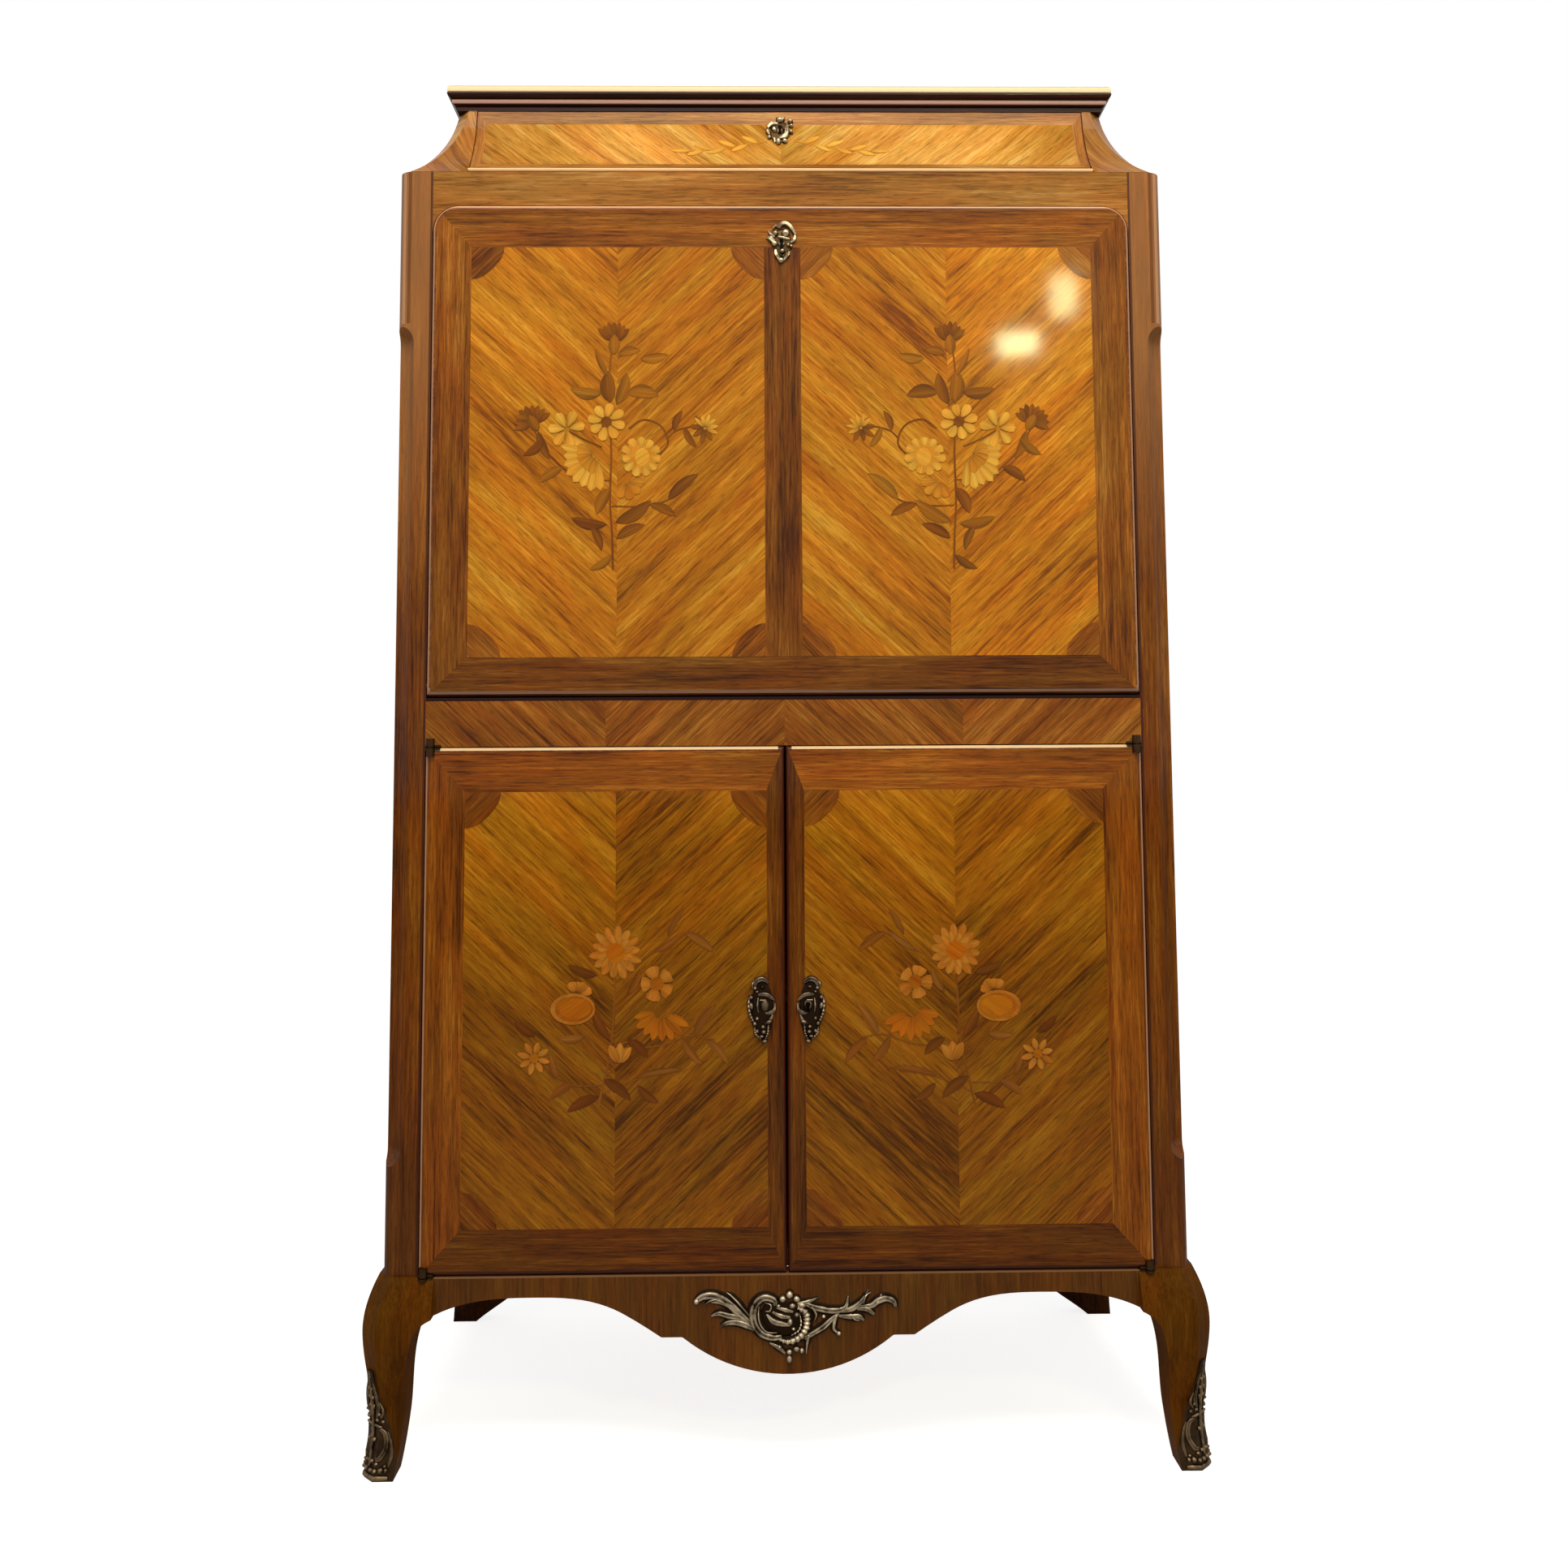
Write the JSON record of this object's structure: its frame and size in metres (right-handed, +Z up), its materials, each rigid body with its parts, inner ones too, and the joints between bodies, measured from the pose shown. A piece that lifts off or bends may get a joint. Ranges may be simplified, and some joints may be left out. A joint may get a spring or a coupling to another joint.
{
  "type": "secretaire",
  "caption": "Writing cabinet on short cabriole legs with a fall front that opens as a desk, a cupboard with a pair of doors below and a coved drawer in the frieze",
  "frame": {"origin": "on the floor under the middle of the bounding box", "axes": "+X to the right of someone facing the front, +Y to the back, +Z up; the front looks along -Y"},
  "size_m": [0.788, 0.394, 1.3455],
  "materials": {
    "dark_veneer": "polished",
    "panel_veneer": "polished",
    "inner_wood": "satin",
    "bronze": "aged",
    "hardware": "satin",
    "bolt_steel": "satin",
    "leather": "satin"
  },
  "bodies": {
    "carcase": {"front_left_leg": "dark_veneer", "front_right_leg": "dark_veneer", "rear_left_leg": "dark_veneer", "rear_right_leg": "dark_veneer", "front_apron": "dark_veneer", "left_apron": "dark_veneer", "right_apron": "dark_veneer", "rear_apron": "dark_veneer", "apron_mount": "bronze", "sabots": "bronze", "left_post": "dark_veneer", "right_post": "dark_veneer", "left_side_panel": "dark_veneer", "right_side_panel": "dark_veneer", "back_panel": "inner_wood", "bottom_board": "inner_wood", "mid_rail": "dark_veneer", "writing_floor": "inner_wood", "frieze_rail": "dark_veneer", "dust_board": "inner_wood", "left_cove": "dark_veneer", "right_cove": "dark_veneer", "cornice_moulding": "dark_veneer", "top_board": "dark_veneer", "cupboard_shelf": "inner_wood", "shelf_battens": "inner_wood", "nest_cheeks": "inner_wood", "nest_partitions": "inner_wood", "stay_studs": "hardware", "fall_pivots": "hardware", "door_pivots": "hardware"},
    "drawer": {"drawer_front": "panel_veneer", "drawer_sides": "inner_wood", "drawer_back": "inner_wood", "drawer_bottom": "inner_wood", "drawer_escutcheon": "bronze", "drawer_lock": "hardware"},
    "drawer_bolt": {"drawer_lock_bolt": "bolt_steel"},
    "fall": {"fall_panel": "panel_veneer", "fall_leather": "leather", "fall_escutcheon": "bronze", "fall_lock": "hardware", "fall_pivot_plates": "hardware", "stay_brackets": "hardware"},
    "fall_bolt": {"fall_lock_bolt": "bolt_steel"},
    "stay_left": {"left_stay": "hardware"},
    "stay_right": {"right_stay": "hardware"},
    "door_left": {"left_door": "panel_veneer", "left_door_escutcheon": "bronze", "left_door_hinges": "hardware"},
    "door_right": {"right_door": "panel_veneer", "right_door_escutcheon": "bronze", "right_door_hinges": "hardware", "door_lock": "hardware"},
    "door_bolt": {"door_lock_bolt": "bolt_steel"},
    "nest_drawer_left": {"small_drawer_left": "inner_wood", "small_knob_left": "hardware"},
    "nest_drawer_right": {"small_drawer_right": "inner_wood", "small_knob_right": "hardware"}
  },
  "joints": [
    {"name": "drawer_slide", "type": "slide", "parent": "carcase", "child": "drawer", "axis": [0, -1, 0], "range_m": [0, 0.24]},
    {"name": "drawer_bolt_throw", "type": "slide", "parent": "drawer", "child": "drawer_bolt", "axis": [0, 0, 1], "range_m": [0, 0.007]},
    {"name": "fall_hinge", "type": "hinge", "parent": "carcase", "child": "fall", "pos_m": [0, -0.176, 0.727], "axis": [1, 0, 0], "range_deg": [0, 90]},
    {"name": "fall_bolt_throw", "type": "slide", "parent": "fall", "child": "fall_bolt", "axis": [0, 0, 1], "range_m": [0, 0.007]},
    {"name": "stay_left_pivot", "type": "hinge", "parent": "fall", "child": "stay_left", "pos_m": [-0.3345, -0.152, 0.88519], "axis": [1, 0, 0], "range_deg": [-45, 0]},
    {"name": "stay_right_pivot", "type": "hinge", "parent": "fall", "child": "stay_right", "pos_m": [0.3345, -0.152, 0.88519], "axis": [1, 0, 0], "range_deg": [-45, 0]},
    {"name": "door_left_hinge", "type": "hinge", "parent": "carcase", "child": "door_left", "pos_m": [-0.338, -0.186, 0.422], "axis": [0, 0, -1], "range_deg": [0, 110]},
    {"name": "door_right_hinge", "type": "hinge", "parent": "carcase", "child": "door_right", "pos_m": [0.338, -0.186, 0.422], "axis": [0, 0, 1], "range_deg": [0, 110]},
    {"name": "door_bolt_throw", "type": "slide", "parent": "door_right", "child": "door_bolt", "axis": [-1, 0, 0], "range_m": [0, 0.007]},
    {"name": "nest_drawer_left_slide", "type": "slide", "parent": "carcase", "child": "nest_drawer_left", "axis": [0, -1, 0], "range_m": [0, 0.12]},
    {"name": "nest_drawer_right_slide", "type": "slide", "parent": "carcase", "child": "nest_drawer_right", "axis": [0, -1, 0], "range_m": [0, 0.12]}
  ],
  "couplings": [
    {"joint": "stay_left_pivot", "follows": "fall_hinge", "ratio": -0.5},
    {"joint": "stay_right_pivot", "follows": "fall_hinge", "ratio": -0.5}
  ]
}
